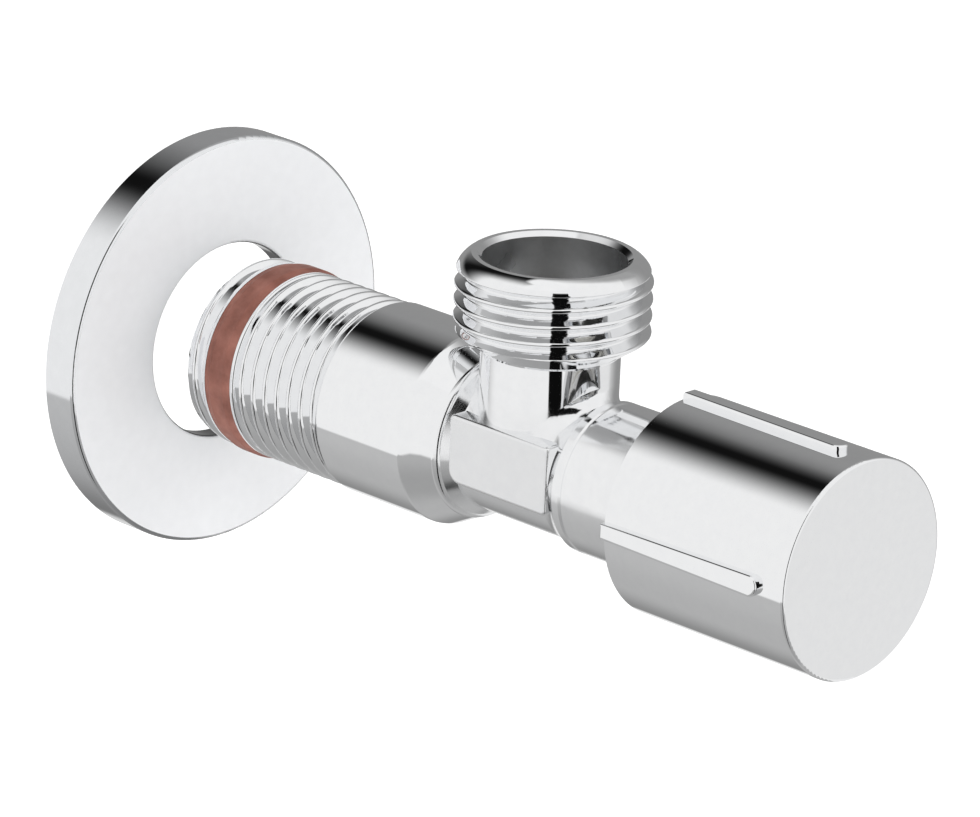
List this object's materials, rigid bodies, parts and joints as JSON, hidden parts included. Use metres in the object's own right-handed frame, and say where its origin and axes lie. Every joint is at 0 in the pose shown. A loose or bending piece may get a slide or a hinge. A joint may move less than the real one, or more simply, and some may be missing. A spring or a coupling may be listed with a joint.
{
  "type": "angle valve",
  "caption": "Chromed wall angle valve with a self-sealing threaded inlet stub, an upward threaded outlet, a ribbed round handle and a sliding rosette.",
  "frame": {"origin": "centre of the inlet stub's end face, on the main axis", "axes": "+Y along the main axis towards the wall, so the handle points along -Y; +Z along the outlet, upwards; +X to the right seen from the handle"},
  "size_m": [0.0458, 0.0969, 0.0458],
  "materials": {
    "chrome_body": "polished chrome plate on brass",
    "chrome_handle": "polished chrome plate",
    "chrome_rosette": "polished chrome plate on pressed sheet",
    "sealing_ring_polymer": "matte red-brown sealing polymer",
    "raw_brass": "turned, unplated",
    "plated_brass": "nickel plate on turned brass",
    "gasket_fibre": "white fibre",
    "black_rubber": "moulded",
    "insert_plastic": "moulded",
    "washer_plastic": "punched sheet",
    "spring_steel": "spring steel",
    "stainless_steel": "turned"
  },
  "bodies": {
    "valve": {"valve_body": "chrome_body", "inlet_sealing_ring": "sealing_ring_polymer", "headpart_body": "plated_brass", "headpart_gasket": "gasket_fibre", "handle_friction_ring": "black_rubber"},
    "handle": {"handle_shell": "chrome_handle", "handle_insert": "insert_plastic", "handle_snap_ring": "spring_steel", "spindle": "raw_brass", "spindle_oring_inner": "black_rubber", "spindle_oring_outer": "black_rubber", "thrust_washer_inner": "washer_plastic", "thrust_washer_outer": "washer_plastic", "spindle_circlip": "spring_steel"},
    "disc": {"disc_carrier": "raw_brass", "carrier_oring": "black_rubber", "seat_washer": "black_rubber", "washer_plate": "raw_brass", "washer_screw": "stainless_steel"},
    "rosette": {"rosette": "chrome_rosette"}
  },
  "joints": [
    {"name": "handle_turn", "type": "hinge", "parent": "valve", "child": "handle", "pos_m": [0, -0.075, 0], "axis": [0, -1, 0], "range_deg": [0, 900]},
    {"name": "disc_lift", "type": "slide", "parent": "valve", "child": "disc", "axis": [0, -1, 0], "range_m": [0, 0.005]},
    {"name": "rosette_slide", "type": "slide", "parent": "valve", "child": "rosette", "axis": [0, -1, 0], "range_m": [0, 0.0358]}
  ],
  "couplings": [
    {"joint": "disc_lift", "follows": "handle_turn", "m_per_rad": 0.000318}
  ]
}
